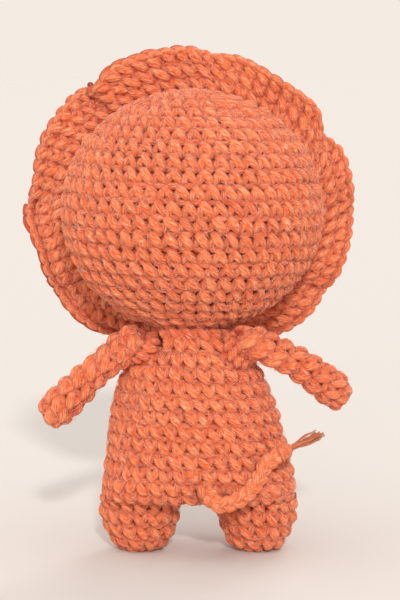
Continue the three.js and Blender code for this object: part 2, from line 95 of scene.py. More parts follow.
# %% Sockets that do arithmetic
class Socket:
    def __init__(self, finish, socket):
        self.finish, self.socket = finish, socket

    def maths(self, operation, first, second=0.0):
        return self.finish.node("ShaderNodeMath", {"operation": operation}, {0: first, 1: second})

    def __add__(self, other):
        return self.maths("ADD", self, other)

    def __radd__(self, other):
        return self.maths("ADD", other, self)

    def __sub__(self, other):
        return self.maths("SUBTRACT", self, other)

    def __rsub__(self, other):
        return self.maths("SUBTRACT", other, self)

    def __mul__(self, other):
        return self.maths("MULTIPLY", self, other)

    def __rmul__(self, other):
        return self.maths("MULTIPLY", other, self)

    def sine(self):
        return self.maths("SINE", self)

    def held(self):
        """Kept between 0 and 1."""
        return self.finish.node("ShaderNodeClamp", {}, {"Value": self})


class Finish:
    """A material whose surface is one Principled shader."""

    def __init__(self, name, **constants):
        self.material = bpy.data.materials.new(name)
        self.material.use_nodes = True
        self.tree = self.material.node_tree
        self.shader = self.tree.nodes["Principled BSDF"]
        self.drive(**constants)

    def plug(self, socket, value):
        if isinstance(value, Socket):
            self.tree.links.new(value.socket, socket)
        else:
            socket.default_value = value

    def drive(self, **values):
        for name, value in values.items():
            self.plug(self.shader.inputs[name.replace("_", " ")], value)

    def node(self, kind, settings, sockets, out=0):
        node = self.tree.nodes.new(kind)
        for name, value in settings.items():
            setattr(node, name, value)
        for name, value in sockets.items():
            self.plug(node.inputs[name], value)
        return Socket(self, node.outputs[out])

    def blend(self, share, first, second):
        """The first colour where share is 0, the second where it is 1."""
        sockets = {"Factor": share, 6: first, 7: second}
        return self.node("ShaderNodeMix", {"data_type": "RGBA"}, sockets, out=2)

    def noise(self, vector, scale, detail=2.0, rough=0.5):
        sockets = {"Vector": vector, "Scale": scale, "Detail": detail, "Roughness": rough}
        return self.node("ShaderNodeTexNoise", {}, sockets)

    def vector(self, x, y, z):
        return self.node("ShaderNodeCombineXYZ", {}, {0: x, 1: y, 2: z})

    def parts_of(self, vector):
        x = self.node("ShaderNodeSeparateXYZ", {}, {0: vector})
        return x, Socket(self, x.socket.node.outputs[1])

    def attribute(self, name):
        return self.node("ShaderNodeAttribute", {"attribute_name": name}, {}, out="Fac")

    def bump(self, height, strength, distance):
        sockets = {"Height": height, "Strength": strength, "Distance": distance}
        return self.node("ShaderNodeBump", {}, sockets)

    def place(self):
        return self.node("ShaderNodeTexCoord", {}, {}, out="Object")


# %% [markdown]
# ## Cotton yarn
# The yarn is a soft cotton of four plies, which wind round it in a slow spiral. Fine fibres streak
# along them, with painted highlight on the pale streaks and ply ridges and painted shade in the
# dark ones, and painted shade turns the colour a red brown where one loop passes under the next.
# Each strand carries a UV map whose U runs along the yarn in millimetres and whose V runs once
# round it, so the spiral is a sine of the two, and streaks are noise that is stretched along the
# spiral. Two
# attributes help: `lift`, the height above the fabric in millimetres, which sets the painted shade,
# and `tone`, a random number for each loop.

# %% Yarn finish
PLIES = 4
TWIST = -0.036  # turns of a ply in each millimetre of yarn, to the left
STREAKS, HAIRS = 18, 30  # how finely the noises divide the way round a strand
STREAK_STRETCH, HAIR_STRETCH = 0.45, 0.8
DEEP = 1.7  # millimetres below the fabric where a strand takes the full painted shade
# painted highlight on the pale hair streaks
HAIR_HIGHLIGHT = (1.0, 0.56, 0.38, 1)


def yarn_finish(name, painted_shade_colour, body, pale_and_highlight, roughness=0.85):
    finish = Finish(name, Roughness=roughness, Sheen_Weight=0.25, Sheen_Roughness=0.5)
    finish.drive(Sheen_Tint=(1.0, 0.75, 0.65, 1), Specular_IOR_Level=0.3)
    winding = finish.node("ShaderNodeUVMap", {"uv_map": "yarn"}, {})
    along, around = finish.parts_of(winding)
    tone = finish.attribute("tone")
    lift = finish.attribute("lift")

    twisted = around + along * TWIST
    ply = (twisted * (2 * np.pi * PLIES)).sine()
    where = finish.vector(along * STREAK_STRETCH, twisted * STREAKS, tone * 40)
    streak = finish.noise(where, 1.0, 3.0, 0.75)
    where = finish.vector(along * HAIR_STRETCH, twisted * HAIRS, tone * 90)
    hair = finish.noise(where, 1.0, 1.0)
    patch = finish.noise(finish.place(), 90.0, 2.0)
    grain = finish.noise(finish.place(), 2200.0, 2.0)

    # a loop's colour: painted highlight along its streaks and ply ridges first, then its own tone
    # and the patch of fabric it is in
    lit = (streak - 0.5) * 3.2 + 0.38 + ply * 0.10 + (tone - 0.5) * 0.25 + (patch - 0.5) * 0.6
    colour = finish.blend(lit.held(), body, pale_and_highlight)
    # dark hair streaks: painted shade between the fibres
    colour = finish.blend(((0.44 - hair) * 8).held() * 0.7, colour, painted_shade_colour)
    # pale hair streaks: painted highlight on the fibres
    colour = finish.blend(((hair - 0.57) * 9).held() * 0.7, colour, HAIR_HIGHLIGHT)
    # painted shade: the colour darkens towards the shade colour as the strand sinks below the
    # fabric
    unshaded = ((lift + DEEP) * 0.5).held()
    colour = finish.blend((1 - unshaded) * 0.9, colour, painted_shade_colour)
    finish.drive(Base_Color=colour)
    height = ply * 0.30 + streak * 2.0 + hair * 1.7 + grain * 0.35
    finish.drive(Normal=finish.bump(height, 0.9, 0.0004))
    return finish.material


# the first colour of each yarn is its painted shade, the second its own colour, the third its paler
# tone and painted highlight
CORAL_PAINTED_SHADE = (0.55, 0.058, 0.015, 1)
CORAL_BODY = (0.80, 0.130, 0.030, 1)
CORAL_PALE_AND_HIGHLIGHT = (0.97, 0.315, 0.124, 1)
SEWN_BODY = (0.80, 0.120, 0.030, 1)
SEWN_PALE_AND_HIGHLIGHT = (0.95, 0.28, 0.12, 1)
BROWN_PAINTED_SHADE = (0.02, 0.01, 0.008, 1)
BROWN_BODY = (0.05, 0.022, 0.014, 1)
BROWN_PALE_AND_HIGHLIGHT = (0.12, 0.06, 0.04, 1)

# each paired with the name of a CAD slot
CORAL = (yarn_finish("coral yarn", CORAL_PAINTED_SHADE, CORAL_BODY, CORAL_PALE_AND_HIGHLIGHT), "yarn")
SEWN = (yarn_finish("sewing yarn", CORAL_PAINTED_SHADE, SEWN_BODY, SEWN_PALE_AND_HIGHLIGHT), "sewing_yarn")
BROWN = (yarn_finish("face yarn", BROWN_PAINTED_SHADE, BROWN_BODY, BROWN_PALE_AND_HIGHLIGHT), "face_yarn")
print("yarn nodes:", len(CORAL[0].node_tree.nodes))

# %% [markdown]
# A loose fibre is too thin to show a spiral. It only needs a shade of its own, from `tone` again:
# a random share between coral and a pale painted highlight.

# %% Loose fibre finish
fibre = Finish("coral fibre", Roughness=0.7, Sheen_Weight=0.5, Specular_IOR_Level=0.3)
fibre_highlight_share = fibre.attribute("tone")
# from coral to a pale painted highlight, by each fibre's random tone
fibre.drive(Base_Color=fibre.blend(fibre_highlight_share, (0.86, 0.18, 0.055, 1), (1.0, 0.50, 0.34, 1)))
print("fibre nodes:", len(fibre.tree.nodes))

# %% [markdown]
# ## Winding yarn into meshes
# A strand is a closed tube that follows a line. Tubes are built many at a time with arrays:
# `centres` has one row of points for each strand, `outward` says which way is off the fabric
# there, and `girth` is the half width. U starts at a place of its own on each strand, so that no
# two loops show the same streaks.

# %% Tubes
def unit(v):
    return v / np.maximum(np.linalg.norm(v, axis=-1, keepdims=True), 1e-12)


def circle(count):
    return np.arange(count) * 2 * np.pi / count


def run_along(line):
    """The distance from a line's start to each of its points."""
    return np.r_[0, np.cumsum(np.linalg.norm(np.diff(line, axis=0), axis=1))]


def tube_points(centres, outward, girth, flat, sides):
    """Rings of points round every line of centres."""
    along = unit(np.gradient(centres, axis=1))
    across = unit(np.cross(along, np.broadcast_to(outward, centres.shape)))
    up = np.cross(across, along)
    turn = circle(sides)
    c, s = np.cos(turn)[:, None], np.sin(turn)[:, None]
    spoke = c * across[:, :, None] + flat * s * up[:, :, None]
    return centres[:, :, None] + girth[..., None, None] * spoke


def tube_faces(strands, rings, sides, first):
    """Quads along the walls, and one face for each end."""
    index = first + np.arange(strands * rings * sides).reshape(strands, rings, sides)
    a, d = index[:, :-1], index[:, 1:]
    walls = np.stack([a, d, np.roll(d, -1, 2), np.roll(a, -1, 2)], -1).reshape(-1, 4)
    return walls, np.concatenate([index[:, 0], index[:, -1, ::-1]])


def tube_uvs(centres, starts, sides):
    """U in millimetres along the yarn, and V once round it."""
    strands, rings = centres.shape[:2]
    run = np.linalg.norm(np.diff(centres, axis=1, prepend=centres[:, :1]), axis=-1)
    run = (np.cumsum(run, 1) / MM)[..., None] + starts[:, None, None]
    u0, u1 = [np.broadcast_to(u, (strands, rings - 1, sides)) for u in (run[:, :-1], run[:, 1:])]
    v0 = np.broadcast_to(np.arange(sides) / sides, u0.shape)
    v1 = v0 + 1 / sides
    walls = np.stack([u0, v0, u1, v0, u1, v1, u0, v1], -1)
    u = np.broadcast_to(starts.repeat(2)[:, None], (2 * strands, sides))
    return walls, np.stack([u, np.broadcast_to(np.arange(sides) / sides, u.shape)], -1)


# %% [markdown]
# A Skein collects tubes and sheets, and makes one mesh of them, with the UV map and attributes that
# the finish reads. The irregularities of handwork come from one seeded source of chance.

# %% Skein
chance = np.random.default_rng(11)
START_SPREAD = 20  # millimetres of yarn over which the strands' starts are spread


class Skein:
    def __init__(self):
        self.points, self.lifts, self.tones, self.faces, self.uvs = [], [], [], [], []
        self.count = 0

    def keep(self, points, lifts, tones, faces, uvs):
        self.points.append(points.reshape(-1, 3))
        self.lifts.append(np.broadcast_to(lifts, points.shape[:-1]).ravel())
        self.tones.append(np.broadcast_to(tones, points.shape[:-1]).ravel())
        self.count += points.size // 3
        for group, uv in zip(faces, uvs):
            self.faces.extend(group.tolist())
            self.uvs.append(uv.reshape(-1, 2))

    def wind(self, centres, outward, girth, flat=0.9, lift=0.0, sides=9):
        """Tubes along centres (strands, rings, 3); girth and lift fit (strands, rings)."""
        strands, rings = centres.shape[:2]
        girth = np.broadcast_to(girth, (strands, rings))
        lift = np.broadcast_to(lift, (strands, rings))
        points = tube_points(centres, outward, girth, flat, sides)
        rise = np.sin(circle(sides))
        # the lift is lower on each strand's underside, so the underside takes more painted shade
        lifts = lift[..., None] + girth[..., None] * flat * rise / MM
        tones = chance.random(strands)
        faces = tube_faces(strands, rings, sides, self.count)
        uvs = tube_uvs(centres, tones * START_SPREAD, sides)
        self.keep(points, lifts, tones[:, None, None], faces, uvs)

    def ring_sheet(self, grid, lift):
        """A closed surface from a grid of points that wraps round in both directions."""
        m, n = grid.shape[:2]
        index = self.count + np.arange(m * n).reshape(m, n)
        right = np.roll(index, -1, 1)
        faces = np.stack([index, right, np.roll(right, -1, 0), np.roll(index, -1, 0)], -1)
        faces = faces.reshape(-1, 4)
        self.keep(grid, lift, 0.5, [faces], [np.zeros((len(faces) * 4, 2))])

    def piece(self, name, yarn, node=None, body=None):
        """One mesh, shown in place of a CAD node and carried by a body."""
        mesh = bpy.data.meshes.new(name)
        mesh.from_pydata(np.concatenate(self.points), [], self.faces)
        layer = mesh.uv_layers.new(name="yarn")
        layer.data.foreach_set("uv", np.concatenate(self.uvs).astype(np.float32).ravel())
        for key, values in (("lift", self.lifts), ("tone", self.tones)):
            data = mesh.attributes.new(key, "FLOAT", "POINT").data
            data.foreach_set("value", np.concatenate(values).astype(np.float32))
        mesh.polygons.foreach_set("use_smooth", [True] * len(mesh.polygons))
        finish, slot = yarn
        mesh.materials.append(finish)
        made = placed(name, mesh)
        if node:
            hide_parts(node)
        if body:
            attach(made, body)
        print(f"{name}: {sum(len(f) - 2 for f in self.faces)} triangles")
        return made


# %% [markdown]
# ## Skins
# Every cover is worked in rounds on a skin, a function that gives the point at an angle round the
# cover and at a run along it, in the direction of work. A right-handed maker's loops always lean
# the same way, so the skins share one rule: seen from outside with the work going up, the angle
# grows to the right. The normal then follows from two small steps on the skin.

# %% Normals of a skin
def normal_of(skin, angle, run):
    turn, step = 1e-3, 5e-5
    run = np.maximum(run, 2 * step)
    round_it = skin(angle + turn, run) - skin(angle - turn, run)
    up_it = skin(angle, run + step) - skin(angle, run - step)
    return unit(np.cross(round_it, up_it))


def off_skin(skin, angle, run, height):
    return skin(angle, run) + normal_of(skin, angle, run) * np.asarray(height)[..., None]


# %% [markdown]
# ## One single crochet
# From outside, a single crochet is a fat V. Its front leg is the long one: it starts high on the
# left, lies over everything and ends low in the middle. The back leg comes from the right and dives
# under the front leg's foot. The loops that the next round is hooked into lie across the top and
# show only in the gaps. Each part is a short fat strand that rises from the fabric and sinks again.

# %% Stitches
STITCH_WIDTH = 4.5 * MM
BASE = -2.2 * MM  # the fabric's floor below its outer surface
LINING = -3.0 * MM
ROUND_SHIFT = 0.26  # of a stitch, by which each round starts past the one before

# start and end in shares of the stitch's width and height, height of the middle, half width
FRONT_LEG = ((-0.50, 0.45), (0.28, -0.58), -0.85 * MM, 1.42 * MM)
BACK_LEG = ((0.42, 0.45), (0.20, -0.34), -1.15 * MM, 1.20 * MM)
TOP_LOOP = ((-0.52, 0.50), (0.50, 0.46), -1.35 * MM, 1.15 * MM)


def rounds(skin, first, last, height, least=6, width=STITCH_WIDTH):
    """The stitches between two runs, as arrays of their middles and sizes."""
    count = max(1, round((last - first) / height))
    tall = (last - first) / count
    angles, runs, widths = [], [], []
    hoop_angle = np.linspace(0, 2 * np.pi, 721)
    bias = 0.0
    for row in range(count):
        run = first + (row + 0.5) * tall
        hoop = skin(hoop_angle, np.full(len(hoop_angle), run))
        length = run_along(hoop)
        stitches = max(least, round(length[-1] / width))
        bias += ROUND_SHIFT
        place = np.arange(stitches)
        left, middle, right = [
            np.interp((place + bias + side) / stitches % 1 * length[-1], length, hoop_angle)
            for side in (-0.5, 0, 0.5)
        ]
        angles.append(middle)
        widths.append((right - left) % (2 * np.pi))
        runs.append(run + tall * (0.5 - place / stitches))
    stitches = sum(len(a) for a in angles)
    print("  rounds:", count, "stitches:", stitches)
    return {
        "angle": np.concatenate(angles), "run": np.concatenate(runs),
        "width": np.concatenate(widths), "height": tall,
    }


def chosen(cells, keep):
    return {k: v[keep] if isinstance(v, np.ndarray) else v for k, v in cells.items()}


def stitch_part(skein, skin, cells, part, rings, sides, scale, raise_by, late=1.0):
    """One strand of every stitch; a larger `late` puts its highest point nearer its end."""
    (x0, y0), (x1, y1), middle, girth = part
    count = len(cells["angle"])
    t = np.linspace(0, 1, rings)
    swell = np.sin(np.pi * t**late) ** 0.5
    wobble = chance.normal(0, 0.04, (4, count, 1))
    x = (x0 + wobble[0]) * (1 - t) + (x1 + wobble[1]) * t
    y = (y0 + wobble[2]) * (1 - t) + (y1 + wobble[3]) * t
    angle = cells["angle"][:, None] + x * cells["width"][:, None]
    run = cells["run"][:, None] + y * cells["height"]
    sink = BASE * 0.9
    tops = middle + chance.normal(0, 0.14 * MM, (count, 1))
    height = (sink + (tops - sink) * swell) * scale + raise_by
    fat = girth * scale * (1 + chance.normal(0, 0.07, (count, 1)))
    wide = fat * (0.45 + 0.55 * swell)
    centres = off_skin(skin, angle, run, height)
    outward = normal_of(skin, angle, run)
    outward = unit(outward + outward.mean(axis=1, keepdims=True))
    # the lift, lowest where a strand's ends sink into the fabric, gives those ends painted shade
    skein.wind(centres, outward, wide, flat=0.92, lift=(height - raise_by) / MM, sides=sides)


def crochet(skein, skin, cells, scale=1.0, raise_by=0.0):
    stitch_part(skein, skin, cells, TOP_LOOP, 6, 6, scale, raise_by)
    stitch_part(skein, skin, cells, BACK_LEG, 8, 8, scale, raise_by, late=1.2)
    stitch_part(skein, skin, cells, FRONT_LEG, 9, 9, scale, raise_by, late=1.25)


def shade_painted_floor(skein, skin, first, last, rows, columns, top=BASE, under=LINING, lift=-2.5):
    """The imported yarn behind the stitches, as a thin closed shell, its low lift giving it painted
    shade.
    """
    runs = np.linspace(first, last, rows)[:, None]
    sheets = ((runs, top), (runs[::-1], under))
    grids = [off_skin(skin, *np.broadcast_arrays(circle(columns), r, h)) for r, h in sheets]
    skein.ring_sheet(np.concatenate(grids), lift)


# %% [markdown]
# ## Smooth lines
# The tail, the mouth and the profiles of the legs and arms are given by a few points each. A
# Catmull-Rom spline passes through all of them without kinks.

# %% Spline through points
def smooth_line(points, steps):
    p = np.asarray(points, float)
    p = np.vstack([2 * p[0] - p[1], p, 2 * p[-1] - p[-2]])
    t = np.linspace(0, 1, steps, endpoint=False)[:, None]
    spans = []
    for a, b, c, d in zip(p, p[1:], p[2:], p[3:]):
        bend, twist = 2 * a - 5 * b + 4 * c - d, 3 * b - a - 3 * c + d
        spans.append(0.5 * (2 * b + (c - a) * t + bend * t**2 + twist * t**3))
    return np.vstack([*spans, p[-2]])


def evenly(points, count):
    """The line again, with its points an equal distance apart."""
    run = run_along(points)
    at = np.linspace(0, run[-1], count)
    return np.stack([np.interp(at, run, points[:, k]) for k in range(points.shape[1])], -1)


# %% [markdown]
# ## The body's skin
# The body is a pear: nearly elliptical, squarer where it meets the legs, and a little to one side
# of the neck at the hips. These are the same formulas that shape its CAD solid, in metres. Its skin
# starts in the middle of the seat, runs out to the edge and turns up into the side.

# %% Body skin
CROTCH_LEVEL, HIP_LEVEL, NECK_LEVEL = 0.015, 0.019, 0.064
HIP_WIDTH, HIP_DEPTH, NECK_RADIUS, LEG_DEPTH = 0.0292, 0.023, 0.013, 0.0126
HIP_SIDESTEP = -0.002

head_low, head_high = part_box("head_cover")
axis_x, axis_y = (head_low.x + head_high.x) / 2, (head_low.y + head_high.y) / 2
AXIS = np.array([axis_x, axis_y, 0])


def body_section(level):
    """Half width, half depth, squareness and sidestep of the pear at a level."""
    t = np.clip((level - HIP_LEVEL) / (NECK_LEVEL - HIP_LEVEL), 0, 1)
    taper = 0.5 * t + 0.5 * t**5
    under = np.clip(1 - (level - CROTCH_LEVEL) / 0.012, 0, 1)
    tuck = 1 - np.sqrt(1 - 0.96 * under**2)
    full = HIP_DEPTH - (HIP_DEPTH - NECK_RADIUS) * taper
    ease = np.clip(t / 0.8, 0, 1)
    side = HIP_SIDESTEP * (1 - ease**2 * (3 - 2 * ease))
    width = HIP_WIDTH - (HIP_WIDTH - NECK_RADIUS) * taper
    return width, full - (full - LEG_DEPTH - 0.0004) * tuck, 2 + 1.6 * under, side


def body_point(angle, level, share=1.0):
    width, depth, square, side = body_section(level)
    c, s = np.cos(angle), np.sin(angle)
    reach = share / (np.abs(c) ** square + np.abs(s) ** square) ** (1 / square)
    return np.stack([side + width * reach * c, depth * reach * s, level + 0 * c], -1) + AXIS


SEAT_RUN = 0.018  # from the middle of the seat to its edge
SEAT_EDGE = 0.0024  # how softly the seat turns up into the side


def body_skin(angle, run):
    past = run - SEAT_RUN
    soft = np.hypot(past, SEAT_EDGE)
    share = np.maximum(1 - (soft - past) / 2 / SEAT_RUN, 0.001)
    return body_point(angle, CROTCH_LEVEL + (soft + past) / 2, share)


# %% [markdown]
# ## The tail
# The tail is a plait of three strands that leaves the seat near the middle and lies up over one
# hip. It is a free cord, so its route repeats the CAD's points: an angle round the body, a rise
# above the crotch and a lift off the fabric. Seen from its end, each strand of a plait follows a
# figure of eight: across as a sine, and in and out at twice the rate.

# %% Plaited tail
TAIL_RADIUS = 0.00225
TAIL_ROUTE = [
    (92, 8.9, 0.9), (101, 4.5, 0.9), (112, 5.5, 0.9),
    (121, 8.3, 0.9), (131, 11.9, 1.2), (139, 15.2, 2.2),
]
TAIL_LENGTH = 0.032
PLAIT_PITCH = 0.0092
PLAIT_ACROSS, PLAIT_DEEP = 1.4 * MM, 0.62 * MM
PLAIT_STRAND = 1.32 * MM


def off_body(angle, level, height):
    """A point off the body's side, and the way that it faces."""
    out = normal_of(body_point, angle, level)
    return body_point(angle, level) + out * height, out


def tail_place(angle, rise, lift):
    place, _ = off_body(np.radians(angle), CROTCH_LEVEL + rise * MM, TAIL_RADIUS + lift * MM)
    return place


tail_line = evenly(smooth_line([tail_place(*stop) for stop in TAIL_ROUTE], 12), 61)
tail_out = unit(tail_line - (AXIS + [HIP_SIDESTEP, 0, 0.024]))
tail_along = unit(np.gradient(tail_line, axis=0))
tail_across = unit(np.cross(tail_along, tail_out))
tail_out = np.cross(tail_across, tail_along)
tail_run = np.linspace(0, TAIL_LENGTH, len(tail_line))

tail = Skein()
for strand in range(3):
    turn = 2 * np.pi * (tail_run / PLAIT_PITCH + strand / 3)
    side = PLAIT_ACROSS * np.sin(turn)
    lift = PLAIT_DEEP * np.sin(2 * turn)
    line = tail_line + side[:, None] * tail_across + lift[:, None] * tail_out
    tail.wind(line[None], tail_out[None], PLAIT_STRAND, lift=0.6 + lift / MM, sides=10)
tail_braid = tail.piece("tail_plait", CORAL, "tail_braid", "tail")

# %% [markdown]
# The plait is tied off with a strand wound round it, over a core that stands for the plait's end.

# %% Binding
WRAPS = 3
way = unit(tail_line[-1] - tail_line[-2])
knot_start = tail_line[-1] + way * 0.4 * MM
binding = Skein()
turn = np.linspace(0, 2 * np.pi * WRAPS, 24 * WRAPS)
wrap_side = unit(np.cross(way, tail_out[-1]))
wrap_out = np.cross(wrap_side, way)
wound = np.cos(turn)[:, None] * wrap_side + np.sin(turn)[:, None] * wrap_out
coil = knot_start + 1.65 * MM * wound + np.linspace(0.6, 3.2, len(turn))[:, None] * MM * way
binding.wind(coil[None], wound[None], 0.85 * MM, sides=8, lift=0.4)
core = knot_start + np.linspace(-0.8, 4.4, 6)[:, None] * MM * way
binding.wind(core[None], wrap_out[None, None], 1.35 * MM, sides=10, lift=0.0)
tail_knot = binding.piece("tail_binding", CORAL, "tail_knot", "tail")

# %% [markdown]
# Past the binding the strands fall apart into a tuft of threads that spread and curl a little.
# Plait, binding and tuft are carried together by the tail.

# %% Tuft and cord
THREADS = 26
TUFT_WAY = unit(np.array([-11.0, -2.0, 5.0]))
TUFT_LENGTH = 11.3

tuft = Skein()
tuft_start = knot_start + way * 3.6 * MM
tuft_side = unit(np.cross(TUFT_WAY, [0, 1, 0]))
tuft_up = np.cross(tuft_side, TUFT_WAY)
for thread in range(THREADS):
    a, far = chance.random() * 2 * np.pi, np.sqrt(chance.random())
    spread = (np.cos(a) * tuft_side + np.sin(a) * tuft_up) * far
    t = np.linspace(0, 1, 9)[:, None]
    reach = TUFT_LENGTH * chance.uniform(0.82, 1.0) * MM
    curl = chance.normal(0, 0.25, 3) * MM * np.sin(2.6 * np.pi * t)
    line = tuft_start + TUFT_WAY * reach * t + spread * (0.8 + 1.1 * t**1.6) * MM + curl
    thin = (0.30 - 0.12 * t[:, 0][None]) * MM
    tuft.wind(line[None], tuft_up[None, None], thin, sides=6, lift=0.2)
tail_tuft = tuft.piece("tail_tuft_threads", CORAL, "tail_tuft", "tail")
print("tail:", round(float(run_along(tail_line)[-1]) / MM, 1), "mm")

# %% [markdown]
# ## The head
# The ball is worked from the crown down, so its skin's run starts at the crown and its Vs hang
# upside down. It grows by six stitches a round to the middle and shrinks again below it. To keep
# each mesh light enough to handle, the rounds are shared between two pieces.

# %% Head
HEAD_CENTRE = np.array([axis_x, axis_y, head_high.z - 0.0355])
HEAD_SIZE = np.array([0.0385, 0.036, 0.0355])
HEAD_RADIUS = 0.0367  # the mean, which turns an angle from the crown into a run
HEAD_RIM = 0.235  # the opening's angle from the bottom
HEAD_ROUND = 4.85 * MM
HEAD_SPLIT = 0.056  # the run where one piece ends and the other starts


def head_skin(angle, run):
    tip = run / HEAD_RADIUS
    ball = np.stack([np.sin(tip) * np.cos(angle), -np.sin(tip) * np.sin(angle), np.cos(tip)], -1)
    return HEAD_CENTRE + HEAD_SIZE * ball


head_end = (np.pi - HEAD_RIM) * HEAD_RADIUS
head_cells = rounds(head_skin, 1.2 * MM, head_end, HEAD_ROUND)
for name, low, high in (("head_crown_rounds", 0, HEAD_SPLIT), ("head_lower_rounds", HEAD_SPLIT, 1)):
    skein = Skein()
    inside = (head_cells["run"] >= low) & (head_cells["run"] < high)
    crochet(skein, head_skin, chosen(head_cells, inside))
    shade_painted_floor(skein, head_skin, max(low, 0.8 * MM), min(high, head_end) - 0.01 * MM, 14, 64)
    skein.piece(name, CORAL, "head_cover", "head")

# %% [markdown]
# ## Body and legs
# Both are worked from the bottom up, so their Vs stand upright. The body's last round is its own
# piece, which no body carries.

# %% Body
BODY_ROUND = 4.15 * MM
BODY_TOP = SEAT_RUN + NECK_LEVEL - CROTCH_LEVEL
FLOOR_TOP, FLOOR_UNDER = 1.9 * MM, 2.7 * MM  # how far in the two faces of its floor lie

seat_end = SEAT_RUN - 1.0 * MM
seat_cells = rounds(body_skin, 3 * MM, seat_end, BODY_ROUND)
body_cells = rounds(body_skin, seat_end, BODY_TOP, BODY_ROUND)
last_round = BODY_TOP - 4.1 * MM


def body_core(angle, run, inset):
    """The body's skin drawn in towards its axis, which keeps its corners clean."""
    place = body_skin(angle, run)
    middle = AXIS + np.array([HIP_SIDESTEP, 0, 0.034])
    out = place - middle
    reach = np.linalg.norm(out, axis=-1, keepdims=True)
    return middle + out * (1 - inset / reach)


def shade_painted_body_floor(skein, first, last, rows, columns=48):
    runs = np.linspace(first, last, rows)[:, None]
    sheets = ((runs, FLOOR_TOP), (runs[::-1], FLOOR_UNDER))
    grids = [body_core(*np.broadcast_arrays(circle(columns), r), d) for r, d in sheets]
    # a lift of -2.5 colours this sheet in painted shade
    skein.ring_sheet(np.concatenate(grids), -2.5)


torso = Skein()
crochet(torso, body_skin, seat_cells, raise_by=-0.5 * MM)
crochet(torso, body_skin, chosen(body_cells, body_cells["run"] < last_round))
shade_painted_body_floor(torso, 1.0 * MM, last_round, 22)
torso.piece("torso_rounds", CORAL, "torso_cover", "body")

collar = Skein()
crochet(collar, body_skin, chosen(body_cells, body_cells["run"] >= last_round))
shade_painted_body_floor(collar, last_round, BODY_TOP - 0.5 * MM, 4)
neck_round = collar.piece("torso_neck_round", CORAL, "torso_cover")
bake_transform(neck_round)

# %% [markdown]
# Legs, arms and the arms' seams are turned: a profile gives the radius at each height along an
# axis. A leg is flattened from front to back, and an arm is bowed a little.

# %% A skin turned from a profile
def turned_skin(profile, origin, way, flatten=1.0, bow=0.0):
    """Rounds about an axis: the profile's points are (radius, height along the way)."""
    line = evenly(smooth_line(np.array(profile) * MM, 10), 160)
    run_of = run_along(line)
    z = unit(np.asarray(way, float))
    helper = np.array([0.0, 1.0, 0.0]) if abs(z[1]) < 0.9 else np.array([1.0, 0.0, 0.0])
    x = unit(np.cross(helper, z))
    y = np.cross(z, x) * flatten

    def skin(angle, run):
        radius = np.interp(run, run_of, line[:, 0])[..., None]
        height = np.interp(run, run_of, line[:, 1])[..., None]
        a, b = radius * np.cos(angle)[..., None], radius * np.sin(angle)[..., None]
        return origin + a * x + b * y + height * z + bow * np.sin(np.pi * height / line[-1, 1])

    return skin, run_of[-1]


# %% [markdown]
# Each leg starts with a flat sole and widens up to the seat. Its stitches are kept, because loose
# fibres grow from them at the end.

# %% Legs
LEG_PROFILE = [
    (0.4, 0.3), (4, 0.35), (6.4, 0.6), (8.6, 3.0),
    (10.2, 6.0), (11.3, 9.5), (11.8, 13.2), (11.8, 16.5),
]
LEG_WIDTH, LEG_SPREAD = 0.0118, 0.0174
LEG_ROUND = 4.2 * MM

leg_covers = []
for side, sign in (("left", 1), ("right", -1)):
    foot = AXIS + [HIP_SIDESTEP + sign * LEG_SPREAD, 0, 0]
    leg_skin, leg_run = turned_skin(LEG_PROFILE, foot, (0, 0, 1), flatten=LEG_DEPTH / LEG_WIDTH)
    leg_cells = rounds(leg_skin, 1.0 * MM, leg_run, LEG_ROUND)
    leg_covers.append((leg_skin, leg_cells))
    leg = Skein()
    crochet(leg, leg_skin, leg_cells, raise_by=0.1 * MM)
    shade_painted_floor(leg, leg_skin, 0.5 * MM, leg_run - 0.2 * MM, 14, 28)
    leg.piece(side + "_leg_rounds", CORAL, side + "_leg_cover", "body")

# %% [markdown]
# ## Arms
# An arm is a narrow tube that widens to a round hand, worked from the hand up and sewn to the body
# by its root. Where it is sewn, and which way it hangs, are found again from the body's own skin.
# A second floor, nearer the surface, fills the arm's narrow root.

# %% Arms
ARM_LENGTH = 36.5 * MM
ARM_PROFILE = [
    (0.3, 1.6), (2.9, 2.2), (4.7, 4.1), (5.5, 6.9), (5.4, 9.8), (5.0, 15.0), (4.8, 20.0),
    (4.8, 26.0), (4.9, 30.5), (5.1, 34.5), (4.5, 38.0), (2.5, 40.7),
]
ARM_ROUND, ARM_STITCH = 4.6 * MM, 5.2 * MM
ARM_ROOTS = {"left": (30, -5, 43, 0.6), "right": (142, 188, 31, 2.2)}
SEAM_PROFILE = [(6.3, -6.6), (5.9, -4.8), (5.2, -2.8), (4.4, -1.0)]
SHOULDER_LEVEL = NECK_LEVEL - 0.0034
STAND_OFF = 0.0052


def arm_place(sewn_at, heading, drop):
    """Where an arm starts, the way that the body faces there, and the way that the arm hangs."""
    pivot, outward = off_body(np.radians(sewn_at), SHOULDER_LEVEL, STAND_OFF)
    turn, fall = np.radians(heading), np.radians(drop)
    level = np.cos(fall)
    return pivot, outward, np.array([np.cos(turn) * level, np.sin(turn) * level, -np.sin(fall)])


